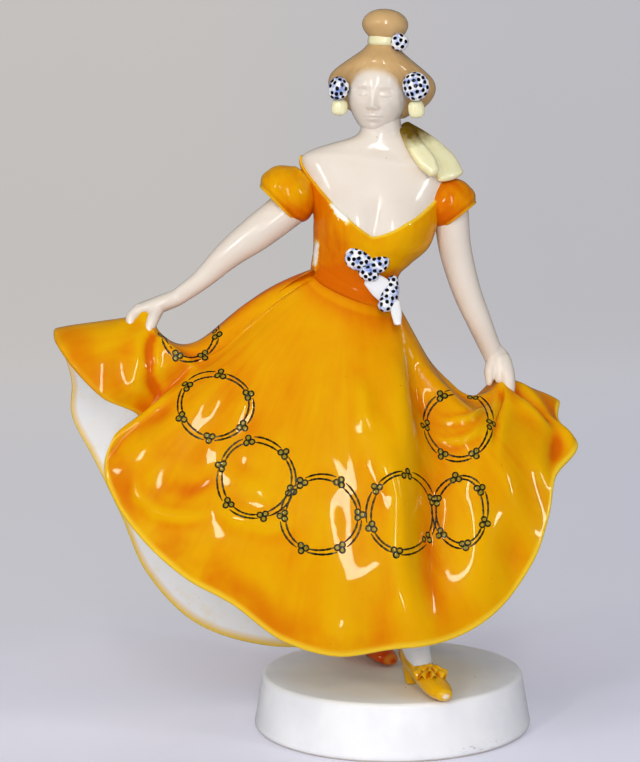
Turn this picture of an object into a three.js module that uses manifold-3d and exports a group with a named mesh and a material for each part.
// Ceramic dancer figurine: slip-cast and hand-built pieces, luted together on a round plinth.
// Millimetres, +Z up, front towards -Y, origin at the centre of the plinth's underside.
// Heights in the figure's own frame are measured from the deck, the plinth's top face.
import * as THREE from "three";
import { mergeVertices } from "three/addons/utils/BufferGeometryUtils.js";
import Module from "manifold-3d";

const wasm = await Module();
wasm.setup();

// Driving sizes
const slipGap = 0.3; // left between pieces that are luted face to face
const plinth = {
  topRadius: 35,
  footRadius: 37,
  height: 14.5,
  wall: 3.5,
  edgeRadius: 0.9,
  ventRadius: 4,
  ventFromCentre: 18,
};
const waist = { x: -9, y: 0, height: 103.3, halfWidth: 11, halfDepth: 8.5, slant: 4.4, dip: 2.5 };
const skirt = {
  wall: 2,
  halfWidth: 67,
  halfDepth: 31,
  frontBow: 6.5,
  bowSkew: 1.3,
  gather: 0.045,
  turnsFrom: 0.45,
};
// A hold is where a hand grips the skirt: u runs round the hem and v from the waist (0) to the hem (1).
const rightHold = { u: 0.335, v: 0.64, sag: 10, reach: 0.66, skew: 2.3, width: 0.1 };
const leftHold = { u: 0.752, v: 0.66, sag: 13.6, reach: 0.64, skew: 1.2, width: 0.11 };
const hips = { above: 2, drop: 24, halfWidth: 12.2, halfDepth: 9.4, fromWaist: 0.5 };
const bodice = { cloth: 0.6, seat: 0.8, neckDip: 13.3, neckRise: 18.6, neckPower: 1.32, backDip: 24 };
const head = {
  halfWidth: 7.9,
  halfDepth: 9,
  halfHeight: 10.9,
  neckSink: 2.4,
  jaw: 0.3,
  chin: 0.14,
  lean: 5,
  turn: -9,
  nod: 6,
};
const nose = { out: 1.5, halfWidth: 0.126, halfHeight: 0.11, drop: 0.13 };
const knot = { halfWidth: 6, halfHeight: 4.1, bandRadius: 4.2, bandHalf: 1.05, sink: 0.9 };
const sleeve = { rightRadius: 7.9, leftRadius: 6.7, length: 9 };
const shoe = { length: 25, halfWidth: 3.2, height: 9, heelRadius: 1.3 };
const leg = { kneeHeight: 48, top: 84, ankle: 3.5, calf: 4, knee: 5, thigh: 5.6 };
const frontStance = { heelX: 3.4, heelY: -12.2, heading: -69, knee: [1, -9.5], hip: [-4, -3] };
const rearStance = { heelX: -12.6, heelY: 22.5, heading: -58, knee: [-14, 9], hip: [-14, 3] };

// Shoulders, from the middle of the chest
const shoulderPlaces = { right: [-22.5, 0.4, 5], left: [19.2, 0.4, 2] };
// An arm's stations: share of the way from the shoulder to the wrist, three offsets and the radius.
const rightArm = {
  root: [0, 0, -3.8],
  wrist: [7, -1, 6.4],
  stations: [
    [0, 0, 0, 0, 5],
    [0.28, 0, -0.4, 0.2, 4.7],
    [0.52, -0.3, -0.8, 0.3, 3.8],
    [0.78, 0, -0.8, -0.4, 2.7],
    [1, 0, 0, 0, 2.2],
  ],
};
const leftArm = {
  root: [0.6, 0, -1.6],
  wrist: [-2.8, -1, 7],
  stations: [
    [0, 0, 0, 0, 4.6],
    [0.3, -2.2, -0.4, 1.1, 4.3],
    [0.58, -2.3, -0.6, 0.7, 3.8],
    [0.8, -1.2, -0.8, 0.3, 3.3],
    [1, 0, 0, 0, 2.8],
  ],
};
// A hand's palm and fingers, from the point of the skirt that it holds: offsets, half width, thickness
const rightHand = {
  palmFace: [0, 0, 1],
  palm: [
    [7, -1, 6.4, 2.3, 2.1],
    [2.2, -1, 4.6, 3.1, 2],
    [-2.2, -0.6, 3.4, 3.3, 1.6],
  ],
  thumb: [
    [2, -2.4, 3.6, 1.5],
    [0.6, -5, 0.6, 1.4],
    [-0.8, -6.4, -3.4, 0.9],
  ],
  foreFinger: [
    [-3, -2, 3.2, 1.5],
    [-5.2, -3.4, 1.4, 1.3],
    [-5, -4.6, -1, 0.9],
  ],
  middleFinger: [
    [-2.2, 1.2, 3, 1.4],
    [-4.2, 3.6, 0.8, 1.3],
    [-3.8, 5.4, -2.8, 0.9],
  ],
  lastFinger: [
    [0, 1.8, 3.2, 1.4],
    [-0.8, 4.4, 0.8, 1.3],
    [-0.4, 5.8, -3, 0.9],
  ],
};
const leftHand = {
  palmFace: [0, -1, 0],
  palm: [
    [-2.8, -1, 7, 2.8, 2.2],
    [-1.2, -1, 4.6, 3.3, 2.1],
    [-0.2, -0.6, 2.8, 3.3, 1.9],
  ],
  thumb: [
    [-2.8, -2, 4.4, 1.4],
    [-4.8, -3.4, 1, 1.3],
    [-5.2, -4.6, -2.4, 0.9],
  ],
  foreFinger: [
    [0.8, -2.2, 3.2, 1.7],
    [1.2, -4.6, -0.8, 1.5],
    [0.4, -5.8, -5, 0.9],
  ],
  middleFinger: [
    [1.2, 1.2, 3, 1.4],
    [2.4, 3.6, -0.2, 1.3],
    [2, 5.2, -3.8, 0.9],
  ],
  lastFinger: [
    [-1.2, 1.8, 3.2, 1.4],
    [-1.8, 4.2, 0, 1.3],
    [-1.8, 5.6, -3.6, 0.9],
  ],
};

// The hem, from the front's middle round by the dancer's right hand, the back and the left hand,
// as x, y and height above the deck.
const hemPoints = [
  [-14.4, -34, 13.3],
  [-28.6, -33.5, 16.9],
  [-41, -31.5, 25.8],
  [-52, -29, 31.6],
  [-61.5, -26, 39.2],
  [-69.3, -22.5, 48.5],
  [-73.3, -20, 57.8],
  [-71.5, -17, 66],
  [-65, -9.5, 70.6],
  [-73.5, -13.5, 75.8],
  [-81.2, -12.5, 83.6],
  [-86.6, -7.5, 90.6],
  [-88, 0, 93.2],
  [-87.3, 8, 89],
  [-85.6, 14, 79],
  [-86.2, 18.5, 68.5],
  [-80.6, 20.5, 56],
  [-73.8, 22.5, 40],
  [-67, 24, 23],
  [-53.8, 26, 8.5],
  [-34, 27.5, 1.4],
  [-12, 29.5, 0.9],
  [10, 29.5, 2.2],
  [25, 26, 13],
  [34, 21, 31],
  [38, 16.5, 49],
  [42.5, 13, 64],
  [46, 8.5, 71.5],
  [45, 2, 67.5],
  [48.9, -4.5, 61],
  [42.6, -12.5, 54.5],
  [40, -17, 44.5],
  [35.6, -22.5, 34.2],
  [26.6, -28, 23.4],
  [15, -32, 16.9],
  [0, -34, 14.8],
];
// Folds pressed into the skirt or raised from it: each runs from one (u, v) to another.
const folds = [
  { from: [0.862, 0.05], to: [0.958, 0.95], lift: -4.8, width: 0.028 },
  { from: [0.91, 0.05], to: [0.985, 1], lift: 2.2, width: 0.03 },
  { from: [0.82, 0.15], to: [0.9, 1], lift: 1.8, width: 0.03 },
  { from: [0.77, 0.16], to: [0.79, 0.62], lift: 1.4, width: 0.016 },
  { from: [0.745, 0.64], to: [0.84, 1.04], lift: -1.8, width: 0.014 },
  { from: [0.75, 0.62], to: [0.8, 1.04], lift: 1.6, width: 0.014 },
  { from: [0.31, 0.14], to: [0.29, 0.62], lift: 1.6, width: 0.018 },
  { from: [0.27, 0.16], to: [0.25, 0.75], lift: -1.6, width: 0.024 },
  { from: [0.335, 0.58], to: [0.222, 1.04], lift: -2.6, width: 0.016 },
  { from: [0.335, 0.62], to: [0.265, 1], lift: 1.6, width: 0.018 },
  { from: [0.16, 0.42], to: [0.15, 0.98], lift: 1.8, width: 0.026 },
  { from: [0.09, 0.25], to: [0.1, 0.9], lift: -1.5, width: 0.03 },
  { from: [0.44, 0.15], to: [0.45, 1.05], lift: -2.4, width: 0.022 },
  { from: [0.52, 0.15], to: [0.53, 1.05], lift: -2.8, width: 0.022 },
  { from: [0.6, 0.15], to: [0.6, 1.05], lift: -2.8, width: 0.02 },
  { from: [0.67, 0.15], to: [0.68, 1.05], lift: -2.4, width: 0.02 },
];
// The torso's sections: rise above the waist, centre x, half width and half depth, front shift.
const torsoRows = [
  [0, -9, 11, 8.5, 0],
  [6.2, -8.6, 10.6, 8.9, -0.3],
  [9.2, -6.9, 12.2, 9.8, -0.7],
  [12.6, -4.6, 14.5, 10.9, -1.2],
  [17.2, -3.5, 15.6, 11.2, -1.2],
  [24.2, -3, 17.6, 9.8, -0.2],
  [31.2, -3, 19.6, 8.2, 0.6],
  [34.6, -2.6, 17.2, 7.2, 1],
  [37.2, -2.1, 12.4, 6.4, 1.1],
  [38.8, -1.8, 8.2, 5.7, 0.8],
  [40.2, -1.6, 6, 5.2, 0.4],
  [42.2, -1.5, 5.2, 4.9, -0.3],
];
const shoulderSlant = 2.2;

// Small helpers
const vec = (x, y, z) => new THREE.Vector3(x, y, z);
const curveThrough = (points, closed = false) =>
  new THREE.CatmullRomCurve3(
    points.map((p) => vec(...p)),
    closed,
    "catmullrom",
    0.5,
  );
const clamp01 = (t) => Math.min(1, Math.max(0, t));
const smooth = (t) => clamp01(t) ** 2 * (3 - 2 * clamp01(t));
const degrees = Math.PI / 180;
const spread = (from, to, count) =>
  Array.from({ length: count + 1 }, (_, k) => from + ((to - from) * k) / count);

const fullTurn = 2 * Math.PI;
// Points round a ring, each made from its turn in radians.
const around = (count, pointAt) =>
  Array.from({ length: count }, (_, i) => pointAt((i / count) * fullTurn));

const lifted = (ring, rise) => ring.map((p) => p.clone().add(vec(0, 0, rise)));

const weldDistance = 1e-4;
function solidOf(geometry) {
  const bare = geometry.clone();
  bare.deleteAttribute("normal");
  bare.deleteAttribute("uv");
  const merged = mergeVertices(bare, weldDistance);
  const solidFrom = (triVerts) => {
    const mesh = { numProp: 3, vertProperties: merged.attributes.position.array, triVerts };
    return new wasm.Manifold(new wasm.Mesh(mesh));
  };
  const faces = new Uint32Array(merged.index.array);
  const made = solidFrom(faces);
  if (made.volume() > 0) return made;
  for (let i = 0; i < faces.length; i += 3) {
    [faces[i], faces[i + 1]] = [faces[i + 1], faces[i]];
  }
  return solidFrom(faces);
}

function geometryOf(solid) {
  const mesh = solid.getMesh();
  return new THREE.BufferGeometry()
    .setAttribute("position", new THREE.Float32BufferAttribute(mesh.vertProperties, 3))
    .setIndex(new THREE.Uint32BufferAttribute(mesh.triVerts, 1));
}

// A solid skinned over closed rings of equal length, with both ends closed by fans.
function skinned(rings) {
  const sides = rings[0].length;
  const points = rings.flat();
  const faces = [];
  for (let r = 0; r + 1 < rings.length; r++)
    for (let i = 0; i < sides; i++) {
      const a = r * sides + i;
      const b = r * sides + ((i + 1) % sides);
      faces.push(a, b, a + sides, b, b + sides, a + sides);
    }
  for (const row of [0, rings.length - 1]) {
    points.push(rings[row].reduce((sum, p) => sum.add(p), vec(0, 0, 0)).divideScalar(sides));
    const middle = points.length - 1;
    for (let i = 0; i < sides; i++) {
      const a = row * sides + i;
      const b = row * sides + ((i + 1) % sides);
      if (row === 0) faces.push(b, a, middle);
      else faces.push(a, b, middle);
    }
  }
  return solidOf(new THREE.BufferGeometry().setFromPoints(points).setIndex(faces));
}

// A wall between two grids of rings, closed at the first and last rows, open through the middle.
function walled(outer, inner) {
  const rings = [...outer, ...inner.slice().reverse()];
  const sides = outer[0].length;
  const faces = [];
  for (let r = 0; r < rings.length; r++)
    for (let i = 0; i < sides; i++) {
      const next = (r + 1) % rings.length;
      const j = (i + 1) % sides;
      faces.push(r * sides + i, r * sides + j, next * sides + i);
      faces.push(r * sides + j, next * sides + j, next * sides + i);
    }
  return solidOf(new THREE.BufferGeometry().setFromPoints(rings.flat()).setIndex(faces));
}

// A limb or ribbon: elliptical sections along a smooth path, with rounded ends.
// Each station is [x, y, z, half width, half thickness]; the width lies square to the path and to face.
// The ends stand out by the share cap of their half thickness.
function sweep(stations, { sides = 12, steps = 10, face = [0, -1, 0], cap = 1, grow = 0 } = {}) {
  const path = curveThrough(stations.map((s) => s.slice(0, 3)));
  const sizes = curveThrough(stations.map((s) => [s[3], s[4] ?? s[3], 0]));
  const facing = vec(...face);
  const rounding = [
    [-1, 0.02],
    [-0.87, 0.5],
    [-0.5, 0.87],
  ];
  const marks = [
    ...rounding.map(([out, scale]) => ({ t: 0, out, scale })),
    ...Array.from({ length: steps + 1 }, (_, k) => ({ t: k / steps, out: 0, scale: 1 })),
    ...rounding.reverse().map(([out, scale]) => ({ t: 1, out: -out, scale })),
  ];
  const rings = marks.map(({ t, out, scale }) => {
    const size = sizes.getPoint(t);
    const along = path.getTangent(t);
    const width = along.clone().cross(facing).normalize();
    const thick = width.clone().cross(along).normalize();
    const reach = out * (cap * Math.min(size.x, size.y) + grow);
    const centre = path.getPoint(t).addScaledVector(along, reach);
    return around(sides, (turn) =>
      centre
        .clone()
        .addScaledVector(width, Math.cos(turn) * (size.x + grow) * scale)
        .addScaledVector(thick, Math.sin(turn) * (size.y + grow) * scale),
    );
  });
  return skinned(rings);
}

// An ellipsoid, turned about Y, then moved.
function lump(centre, half, turn = 0, grow = 0, segments = 14) {
  const geometry = new THREE.SphereGeometry(1, segments, Math.round(segments * 0.65));
  geometry.rotateX(90 * degrees);
  geometry.scale(...half.map((h) => h + grow));
  geometry.rotateY(turn * degrees);
  geometry.translate(...centre);
  return solidOf(geometry);
}

// The largest body, so that a crumb left by a cut doesn't count as a piece.
const largest = (solid) => solid.decompose().reduce((a, b) => (b.volume() > a.volume() ? b : a));
// A piece cut back from its neighbours, each a function of how far it is grown.
const cutBy = (solid, neighbour) => solid.subtract(neighbour(slipGap));
const fitted = (make, ...neighbours) => largest(neighbours.reduce(cutBy, make(0)));

// Waist and skirt
function waistPoint(turn) {
  return vec(
    waist.x + waist.halfWidth * Math.cos(turn),
    waist.y + waist.halfDepth * Math.sin(turn),
    waist.height - waist.slant * Math.cos(turn) + waist.dip * Math.sin(turn),
  );
}

const hemCurve = curveThrough(hemPoints, true);
const wrap = (d) => d - Math.round(d);
const bell = (d, width) => Math.exp(-((wrap(d) / width) ** 2));

function sagOf(hold, u, v) {
  if (v >= hold.reach) return 0;
  return hold.sag * bell(u - hold.u, hold.width) * Math.sin(Math.PI * (v / hold.reach) ** hold.skew);
}

// The hem with its small turns smoothed out, which is what the cloth follows higher up.
const hemAt = (u) => hemCurve.getPoint(u - Math.floor(u));
function gatheredHem(u) {
  const shares = spread(-skirt.gather, skirt.gather, 6);
  const sum = shares.reduce((total, d) => total.add(hemAt(u + d)), vec(0, 0, 0));
  return sum.divideScalar(shares.length);
}

// The skirt before its folds: a rib runs from the waist to the hem, bowed out in front and behind
// and sagging between the waist and each hand.
function plainSkirt(u, v) {
  const edge = hemAt(u);
  const turn = Math.atan2((edge.y - waist.y) / skirt.halfDepth, (edge.x - waist.x) / skirt.halfWidth);
  edge.lerp(gatheredHem(u), 1 - smooth((v - skirt.turnsFrom) / (1 - skirt.turnsFrom)));
  const point = waistPoint(turn).lerp(edge, v);
  const bow = skirt.frontBow * Math.sin(Math.PI * clamp01(v) ** skirt.bowSkew);
  point.y += bow * Math.sin(turn) ** 3;
  point.z -= sagOf(rightHold, u, v) + sagOf(leftHold, u, v);
  return point;
}

// How far the folds lift the cloth. A fold fades at both its ends, and all of them near the waist.
const foldFade = { start: 0.35, end: 0.3, waist: 0.3 };
function liftOf(u, v) {
  let sum = 0;
  for (const { from, to, lift, width } of folds) {
    const along = (v - from[1]) / (to[1] - from[1]);
    const middle = from[0] + (to[0] - from[0]) * along;
    const ends = smooth(along / foldFade.start) * smooth((1 - along) / foldFade.end);
    sum += lift * bell(u - middle, width) * ends;
  }
  return sum * smooth(v / foldFade.waist);
}

const tiny = 1e-3;
function outwards(u, v) {
  const low = Math.min(v, 1 - tiny);
  const round = plainSkirt(u + tiny, low).sub(plainSkirt(u - tiny, low));
  const down = plainSkirt(u, low + tiny).sub(plainSkirt(u, Math.max(low - tiny, 0)));
  return round.cross(down).normalize();
}

function skirtPoint(u, v, inset = 0) {
  return plainSkirt(u, v).addScaledVector(outwards(u, v), liftOf(u, v) - inset);
}

const skirtSides = 72;
const skirtRows = 11;
const roundHem = (v, inset) => around(skirtSides, (turn) => skirtPoint(turn / fullTurn, v, inset));

function skirtSolid(grow) {
  const side = (inset) => {
    const rows = spread(0, 1, skirtRows).map((v) => roundHem(v, inset));
    rows[0] = lifted(rows[0], grow);
    return rows;
  };
  return walled(side(-grow), side(skirt.wall + grow));
}

// The hips fill the bell under the waist and carry the legs. Rows are shares of the drop and of the girth.
const hipRows = [
  [0.3, 0.84],
  [0.62, 1],
  [0.86, 0.9],
  [1, 0.55],
];
const hipSides = 24;
function hipsSolid(grow) {
  const inset = skirt.wall + hips.fromWaist - grow;
  const row = (halfWidth, halfDepth, drop, slant) =>
    around(hipSides, (turn) =>
      vec(
        waist.x + halfWidth * Math.cos(turn),
        waist.y + halfDepth * Math.sin(turn),
        waist.height - drop - slant * Math.cos(turn),
      ),
    );
  const top = row(waist.halfWidth - inset, waist.halfDepth - inset, -hips.above - grow, waist.slant);
  const rows = hipRows.map(([share, girth]) => {
    const drop = hips.drop * share + (share === 1 ? grow : 0);
    const slant = (1 - share) * waist.slant;
    return row(hips.halfWidth * girth + grow, hips.halfDepth * girth + grow, drop, slant);
  });
  return skinned([top, ...rows]);
}

// Torso
const torsoCentres = curveThrough(torsoRows.map(([rise, x, , , shift]) => [x, shift, rise]));
const torsoSizes = curveThrough(torsoRows.map(([, , halfWidth, halfDepth]) => [halfWidth, halfDepth, 0]));
const waistShift = torsoRows[0][1] - waist.x;
// The waist's own tilt dies away below the chest, and the shoulders' tilt at the neck.
const tilts = { chestRise: 18, shoulderRise: 31, neckRise: 40 };
function torsoPoint(turn, t, grow = 0) {
  const centre = torsoCentres.getPoint(t);
  const size = torsoSizes.getPoint(t);
  const level = 1 - smooth(centre.z / tilts.chestRise);
  const neck = smooth((centre.z - tilts.shoulderRise) / (tilts.neckRise - tilts.shoulderRise));
  const slant = waist.slant * level + shoulderSlant * (1 - level) * (1 - neck);
  return vec(
    centre.x - waistShift + (size.x + grow) * Math.cos(turn),
    waist.y + centre.y + (size.y + grow) * Math.sin(turn),
    waist.height + centre.z + level * waist.dip * Math.sin(turn) - slant * Math.cos(turn),
  );
}

// Where the neckline crosses each rib of the torso, as a share of its length.
function necklineAt(turn) {
  const front = Math.sin(turn) < 0;
  const aside = Math.abs(Math.abs(turn) - Math.PI / 2) / (Math.PI / 2);
  const top = bodice.neckDip + bodice.neckRise;
  const rise = front
    ? bodice.neckDip + bodice.neckRise * aside ** bodice.neckPower
    : bodice.backDip + (top - bodice.backDip) * aside ** 2;
  const row = torsoRows.findIndex(([r]) => r > rise);
  const [low, high] = [torsoRows[row - 1][0], torsoRows[row][0]];
  return (row - 1 + (rise - low) / (high - low)) / (torsoRows.length - 1);
}

const torsoSides = 32;
const torsoBands = 9;

// A length of the torso between two shares of its ribs, each a function of the turn. It stands out
// from the ribs, and its lower edge stands above its seat.
function torsoLength(lowAt, highAt, standsOut, seat, grow) {
  const rows = spread(0, 1, torsoBands).map((share) =>
    around(torsoSides, (round) => {
      const turn = round > Math.PI ? round - fullTurn : round;
      const low = lowAt(turn);
      return torsoPoint(turn, low + (highAt(turn) - low) * share, standsOut + grow);
    }),
  );
  rows[0] = lifted(rows[0], seat - grow);
  rows[torsoBands] = lifted(rows[torsoBands], grow);
  return skinned(rows);
}
const bodiceSolid = (grow) => torsoLength(() => 0, necklineAt, bodice.cloth, bodice.seat, grow);
const bustSolid = (grow) => torsoLength(necklineAt, () => 1, 0, slipGap, grow);

// Head, placed on the neck
const torsoMiddle = (t) => torsoPoint(0, t).add(torsoPoint(Math.PI, t)).multiplyScalar(0.5);
const neckTop = torsoMiddle(1);
const headCentre = neckTop.clone().add(vec(-0.9, -0.9, head.halfHeight - head.neckSink));
const headTurn = new THREE.Euler(head.nod * degrees, head.lean * degrees, head.turn * degrees, "ZYX");
const onHead = (x, y, z) => vec(x, y, z).applyEuler(headTurn).add(headCentre);

// An egg, narrower at the jaw, with a small nose. Heights on it are shares of its half height.
const jawFrom = 0.9;
const headSides = 24;
const headBands = 14;
const poleRing = 0.02;
function headSolid(grow) {
  const rings = spread(-90, 90, headBands).map((lift) => {
    const ring = Math.max(Math.cos(lift * degrees), poleRing);
    const z = Math.sin(lift * degrees);
    const low = smooth(-z / jawFrom);
    return around(headSides, (turn) => {
      const front = Math.max(0, -Math.sin(turn)) * ring;
      const narrow = 1 - head.jaw * low * (1 - 0.25 * front);
      const halfDepth = head.halfDepth * (1 - head.chin * low) + grow;
      const across = Math.exp(-(((Math.cos(turn) * ring) / nose.halfWidth) ** 2));
      const upright = Math.exp(-(((z + nose.drop) / nose.halfHeight) ** 2));
      const out = front > 0.5 ? nose.out * across * upright : 0;
      return onHead(
        (head.halfWidth * narrow + grow) * ring * Math.cos(turn),
        halfDepth * ring * Math.sin(turn) - out,
        (head.halfHeight + grow) * z,
      );
    });
  });
  return skinned(rings);
}

// Hair: a cap swept up to the knot, full over both ears. Rows are height, half width, front, back.
const hairRows = [
  [-6.2, 7, 1, 8.6],
  [-4, 10.8, -0.4, 10.4],
  [-1.4, 13.2, -2.6, 11.4],
  [1.4, 14.2, -4.6, 11.6],
  [4, 13.4, -6.4, 11],
  [6.2, 10.6, -7.3, 9.8],
  [8.6, 7, -6.5, 7.9],
  [10.6, 4.7, -4.8, 5.8],
  [12, 3.9, -3.6, 4.6],
];
const hairShift = 0.5;
const hairBands = 14;
const hairSizes = curveThrough(hairRows.map(([z, halfWidth]) => [z, halfWidth, 0]));
const hairDepths = curveThrough(hairRows.map(([, , front, back]) => [front, back, 0]));
function hairSolid(grow) {
  const rings = spread(0, 1, hairBands).map((t) => {
    const { x: z, y: halfWidth } = hairSizes.getPoint(t);
    const { x: front, y: back } = hairDepths.getPoint(t);
    return around(headSides, (turn) =>
      onHead(
        hairShift + (halfWidth + grow) * Math.cos(turn),
        (front + back) / 2 + ((back - front) / 2 + grow) * Math.sin(turn),
        z,
      ),
    );
  });
  rings[0] = lifted(rings[0], -grow);
  rings[hairBands] = lifted(rings[hairBands], grow);
  return skinned(rings);
}

const hairTop = { x: hairShift + 0.2, y: 0.7, z: hairRows[hairRows.length - 1][0] };
const bandCentre = onHead(hairTop.x, hairTop.y, hairTop.z + knot.bandHalf);
const knotRise = 2 * knot.bandHalf + knot.halfHeight - knot.sink;
const knotCentre = onHead(hairTop.x, hairTop.y, hairTop.z + knotRise);
const bandHalf = [knot.bandRadius, knot.bandRadius, knot.bandHalf + slipGap];
const knotHalf = [knot.halfWidth, knot.halfWidth * 0.95, knot.halfHeight];
const bunBandSolid = (grow) => lump(bandCentre.toArray(), bandHalf, head.lean, grow, 18);
const bunSolid = (grow) => lump(knotCentre.toArray(), knotHalf, head.lean, grow, 20);

// Spotted bows and plain ribbon ends on the head
const headLump = (x, y, z, half, turn) => (grow) => lump(onHead(x, y, z).toArray(), half, turn, grow, 12);
const bunBowSolid = headLump(4.4, -2.6, 12.6, [2.4, 1.9, 2.3], 20);
const rightHairBow = headLump(-10.4, -5.4, 0.4, [2.7, 2.3, 3.1], 12);
const leftHairBow = headLump(10.1, -5.4, 1.3, [3.3, 2.3, 3.7], -10);
const rightHairRibbon = headLump(-9.9, -4.4, -4.4, [2.5, 1.7, 2.3], 5);
const leftHairRibbon = headLump(10.2, -4, -4.6, [2.6, 1.7, 2.6], -8);

// Two ends of the hair ribbon fall over the left shoulder. They are placed from the top of the neck.
const near = (point, x, y, z, ...half) => [point.x + x, point.y + y, point.z + z, ...half];
const allNear = (point, stations) => stations.map((station) => near(point, ...station));
const ribbonNear = allNear(neckTop, [
  [5.7, -1.6, -1.9, 1.4, 1],
  [6.5, -4.6, -6, 2.9, 1.5],
  [9.6, -6.6, -10.6, 3.2, 1.5],
  [12, -7.2, -13, 2.2, 1.2],
]);
const ribbonFar = allNear(neckTop, [
  [6.3, 1.6, -0.9, 1.5, 1],
  [11.5, 0.2, -4.6, 3.2, 1.4],
  [16.6, -1.8, -9.4, 3.6, 1.4],
  [18, -3.8, -13.6, 2.4, 1.2],
]);
const ribbonNearSolid = (grow) => sweep(ribbonNear, { grow, face: [0.35, -1, 0.3], steps: 8 });
const ribbonFarSolid = (grow) => sweep(ribbonFar, { grow, face: [0.35, -1, 0.5], steps: 8 });

// Sleeves, puffed round the top of each arm. Rows are shares of the length from the shoulder and of
// the radius.
const chest = torsoMiddle(0.4);
const rightShoulder = chest.clone().add(vec(...shoulderPlaces.right));
const leftShoulder = chest.clone().add(vec(...shoulderPlaces.left));
const sleeveRows = [
  [-0.6, 0.55],
  [-0.3, 0.84],
  [0.1, 0.98],
  [0.42, 1],
];
const sleeveDepth = 0.92;
function sleeveSolid(shoulder, [dx, dz], radius, grow) {
  const stations = sleeveRows.map(([along, girth]) => [
    shoulder.x + dx * along * sleeve.length,
    shoulder.y,
    shoulder.z + dz * along * sleeve.length,
    radius * girth,
    radius * girth * sleeveDepth,
  ]);
  return sweep(stations, { sides: 14, steps: 6, cap: 0.25, grow });
}
const rightSleeveSolid = (grow) => sleeveSolid(rightShoulder, [-0.72, -0.7], sleeve.rightRadius, grow);
const leftSleeveSolid = (grow) => sleeveSolid(leftShoulder, [0.6, -0.8], sleeve.leftRadius, grow);

// Arms and hands: each hand closes over the skirt's ridge at its hold.
const rightGrip = skirtPoint(rightHold.u, rightHold.v);
const leftGrip = skirtPoint(leftHold.u, leftHold.v);
const fingerFace = [1, 0.2, 0.3];
function armSolid(shoulder, grip, arm, hand, grow) {
  const root = shoulder.clone().add(vec(...arm.root));
  const wrist = grip.clone().add(vec(...arm.wrist));
  const stations = arm.stations.map(([share, ...offset]) =>
    near(root.clone().lerp(wrist, share), ...offset),
  );
  const palm = sweep(allNear(grip, hand.palm), { sides: 8, steps: 4, face: hand.palmFace, grow });
  const limb = sweep(stations, { sides: 12, steps: 8, grow }).add(palm);
  const fingers = [hand.thumb, hand.foreFinger, hand.middleFinger, hand.lastFinger];
  const fingerLook = { sides: 6, steps: 4, face: fingerFace, grow };
  return fingers.reduce((made, finger) => made.add(sweep(allNear(grip, finger), fingerLook)), limb);
}
const rightArmSolid = (grow) => armSolid(rightShoulder, rightGrip, rightArm, rightHand, grow);
const leftArmSolid = (grow) => armSolid(leftShoulder, leftGrip, leftArm, leftHand, grow);

// Bows on the bodice and at the waist, with the ribbon that runs between them and hangs below.
// The bow's knot is the point they are all placed from.
const bowKnot = torsoPoint(-72 * degrees, 0.09, bodice.cloth);
const onBow = (x, y, z, half, turn) => (grow) =>
  lump([bowKnot.x + x, bowKnot.y + y, bowKnot.z + z], half, turn, grow, 12);
const bowRightLoop = onBow(-3.2, -0.9, 4.6, [3.4, 1.8, 3], 18);
const bowLeftLoop = onBow(2.2, -0.8, 3, [2.3, 1.6, 2.3], -35);
const bowEnd = onBow(-0.5, -1, 0.4, [2.2, 1.3, 1.8], 30);
const sashStations = allNear(bowKnot, [
  [0, 0, -1.2, 1.9, 0.9],
  [2.4, 0.2, -3.2, 2.3, 0.9],
  [4.6, 0.7, -5.4, 2.3, 0.9],
]);
const sashSolid = (grow) => sweep(sashStations, { grow, steps: 5, sides: 10 });
const waistBowStations = allNear(bowKnot, [
  [5.8, 1.2, -1.6, 1.3, 1.2],
  [5.2, 0.2, -4.8, 2.1, 1.7],
  [3.4, -1, -8.4, 2, 1.6],
]);
const waistBowSolid = (grow) => sweep(waistBowStations, { grow, steps: 6, sides: 12 });
const tailStations = allNear(bowKnot, [
  [6.4, -0.4, -7.2, 1.5, 0.9],
  [6.6, -2.2, -10.4, 1.4, 0.9],
  [6.5, -4.4, -13.6, 0.8, 0.8],
]);
const sashTailSolid = (grow) => sweep(tailStations, { grow, steps: 6, sides: 8 });

// Legs and high-heeled shoes. A foot stands on its toes, along its own line from the heel.
const alongFoot = ({ heelX, heelY, heading }, distance, z) => [
  heelX + distance * Math.cos(heading * degrees),
  heelY + distance * Math.sin(heading * degrees),
  z,
];
// Sections of a shoe: share of its length, width, middle and half height as shares of its own.
const shoeShape = [
  [0.04, 0.62, 0.92, 0.32],
  [0.15, 0.76, 0.84, 0.32],
  [0.34, 0.8, 0.62, 0.28],
  [0.54, 0.94, 0.4, 0.26],
  [0.74, 1, 0.28, 0.25],
  [0.88, 0.86, 0.22, 0.2],
  [0.96, 0.55, 0.18, 0.14],
];
// The heel's sections: share of the shoe's length and height, and girth as a share of its radius.
const heelShape = [
  [0.11, 0, 0.85],
  [0.096, 0.35, 1.02],
  [0.082, 0.7, 1.2],
];
function shoeSolid(stance, grow) {
  const stations = shoeShape.map(([share, width, middle, tall]) => [
    ...alongFoot(stance, share * shoe.length, slipGap + middle * shoe.height),
    width * shoe.halfWidth,
    tall * shoe.height,
  ]);
  const heel = heelShape.map(([share, rise, girth]) => [
    ...alongFoot(stance, share * shoe.length, rise * shoe.height),
    shoe.heelRadius * girth,
  ]);
  const depth = 20;
  const below = new THREE.BoxGeometry(200, 200, depth).translate(0, 0, slipGap - grow - depth / 2);
  return sweep(stations, { sides: 12, steps: 10, face: [0, 0, 1], grow })
    .add(sweep(heel, { sides: 8, steps: 3, grow }))
    .subtract(solidOf(below));
}

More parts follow.
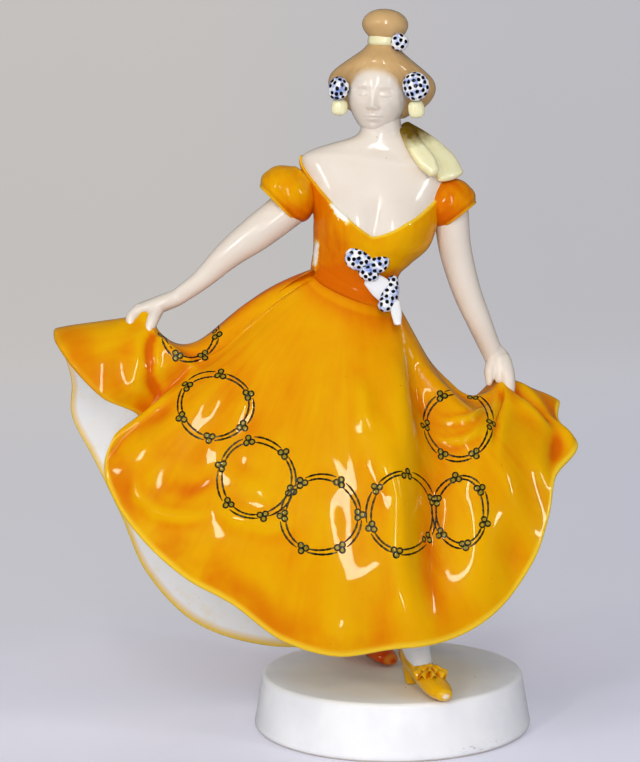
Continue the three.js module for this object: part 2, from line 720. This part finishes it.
// Inside the shoe the leg runs down to the toes. These rows are shares of the shoe's length and height
// with the foot's own half width.
const footRows = [
  [0.5, 0.42, 1.9],
  [0.34, 0.86, 2.8],
  [0.18, 1.4, leg.ankle],
];
const calfShare = 0.25;
const calfHeight = 2.4;
function legSolid(stance, grow) {
  const low = footRows.map(([share, rise, half]) => [
    ...alongFoot(stance, share * shoe.length, rise * shoe.height),
    half,
  ]);
  const ankle = low[low.length - 1];
  const calf = [0, 1].map((axis) => ankle[axis] + (stance.knee[axis] - ankle[axis]) * calfShare);
  const stations = [
    ...low,
    [...calf, calfHeight * shoe.height, leg.calf],
    [...stance.knee, leg.kneeHeight, leg.knee],
    [...stance.hip, leg.top, leg.thigh],
  ];
  return sweep(stations, { sides: 12, steps: 9, grow });
}

// The ruffled rosette on the instep
const rosetteHalf = [3, 3, 1.9];
const rosetteSolid = (stance, grow) =>
  lump(alongFoot(stance, 0.62 * shoe.length, 0.58 * shoe.height), rosetteHalf, 0, grow, 12);

// Plinth: a hollow drum with a vent hole in its flat underside, which lets the kiln's gases out
function plinthSolid() {
  const { topRadius, footRadius, height, wall, edgeRadius } = plinth;
  const outline = new THREE.Path();
  outline.moveTo(0, 0);
  outline.lineTo(footRadius - edgeRadius, 0);
  outline.quadraticCurveTo(footRadius, 0, footRadius - 0.1, edgeRadius);
  outline.lineTo(topRadius + 0.1, height - edgeRadius);
  outline.quadraticCurveTo(topRadius, height, topRadius - edgeRadius, height);
  outline.lineTo(0, height);
  const drum = new THREE.LatheGeometry(outline.getPoints(3), 56).rotateX(90 * degrees);
  const hollow = new THREE.CylinderGeometry(topRadius - wall, footRadius - wall, height - 2 * wall, 36)
    .rotateX(90 * degrees)
    .translate(0, 0, height / 2);
  const vent = new THREE.CylinderGeometry(plinth.ventRadius, plinth.ventRadius, height, 20)
    .rotateX(90 * degrees)
    .translate(0, plinth.ventFromCentre, 0);
  return solidOf(drum).subtract(solidOf(hollow)).subtract(solidOf(vent));
}

// Glazes
const glaze = (color) => new THREE.MeshStandardMaterial({ color, roughness: 0.12, metalness: 0 });
const orange = glaze(0xe39a0c);
const white = glaze(0xe9e6e0);
const skin = glaze(0xe2dbd2);
const cream = glaze(0xe6deb0);
const hairTan = glaze(0xc79f6e);
const spotted = glaze(0xb9bfcc);
const yellow = glaze(0xdda213);
const rust = glaze(0xc4570f);

const figure = new THREE.Group();
const figurine = new THREE.Group();
figurine.add(figure);
figure.position.z = plinth.height;

function place(group, name, solid, material) {
  const mesh = new THREE.Mesh(geometryOf(solid), material);
  mesh.name = name;
  group.add(mesh);
}

place(figurine, "plinth", plinthSolid(), white);
place(figure, "skirt", skirtSolid(0), orange);
place(figure, "bodice", fitted(bodiceSolid, skirtSolid), orange);
place(figure, "hips", fitted(hipsSolid, skirtSolid, bodiceSolid), white);
place(figure, "bust", fitted(bustSolid, bodiceSolid), skin);
place(figure, "head", fitted(headSolid, bustSolid), skin);
place(figure, "hair", fitted(hairSolid, headSolid, bustSolid), hairTan);
place(figure, "bun_band", fitted(bunBandSolid, hairSolid), cream);
place(figure, "bun", fitted(bunSolid, bunBandSolid, hairSolid), hairTan);
place(figure, "bun_bow", fitted(bunBowSolid, bunSolid, bunBandSolid, hairSolid), spotted);
place(figure, "hair_bow_right", fitted(rightHairBow, headSolid, hairSolid), spotted);
place(figure, "hair_bow_left", fitted(leftHairBow, headSolid, hairSolid), spotted);
place(figure, "hair_ribbon_right", fitted(rightHairRibbon, headSolid, hairSolid, rightHairBow), cream);
place(figure, "hair_ribbon_left", fitted(leftHairRibbon, headSolid, hairSolid, leftHairBow), cream);
place(figure, "sleeve_right", fitted(rightSleeveSolid, bodiceSolid, bustSolid), orange);
place(figure, "sleeve_left", fitted(leftSleeveSolid, bodiceSolid, bustSolid), orange);
const underRibbons = [bustSolid, bodiceSolid, headSolid, hairSolid, leftSleeveSolid, leftHairRibbon];
place(figure, "shoulder_ribbon_near", fitted(ribbonNearSolid, ...underRibbons), cream);
place(figure, "shoulder_ribbon_far", fitted(ribbonFarSolid, ...underRibbons, ribbonNearSolid), cream);
place(figure, "arm_right", fitted(rightArmSolid, rightSleeveSolid, skirtSolid, bodiceSolid), skin);
place(figure, "arm_left", fitted(leftArmSolid, leftSleeveSolid, skirtSolid, bodiceSolid), skin);
place(figure, "bow_loop_right", fitted(bowRightLoop, bodiceSolid), spotted);
place(figure, "bow_loop_left", fitted(bowLeftLoop, bodiceSolid, bowRightLoop), spotted);
place(figure, "bow_end", fitted(bowEnd, bodiceSolid, bowRightLoop, bowLeftLoop), spotted);
place(figure, "sash", fitted(sashSolid, bodiceSolid, skirtSolid, bowEnd, bowLeftLoop, bowRightLoop), white);
place(figure, "waist_bow", fitted(waistBowSolid, bodiceSolid, skirtSolid, sashSolid), spotted);
place(figure, "sash_tail", fitted(sashTailSolid, skirtSolid, waistBowSolid, bodiceSolid), white);
for (const [side, stance, colour] of [
  ["front", frontStance, yellow],
  ["rear", rearStance, rust],
]) {
  const shoeOf = (grow) => shoeSolid(stance, grow);
  const legOf = (grow) => legSolid(stance, grow);
  const rosetteOf = (grow) => rosetteSolid(stance, grow);
  place(figure, "shoe_" + side, shoeOf(0), colour);
  place(figure, "leg_" + side, fitted(legOf, shoeOf, hipsSolid, skirtSolid), white);
  place(figure, "rosette_" + side, fitted(rosetteOf, shoeOf, legOf), colour);
}

export default figurine;
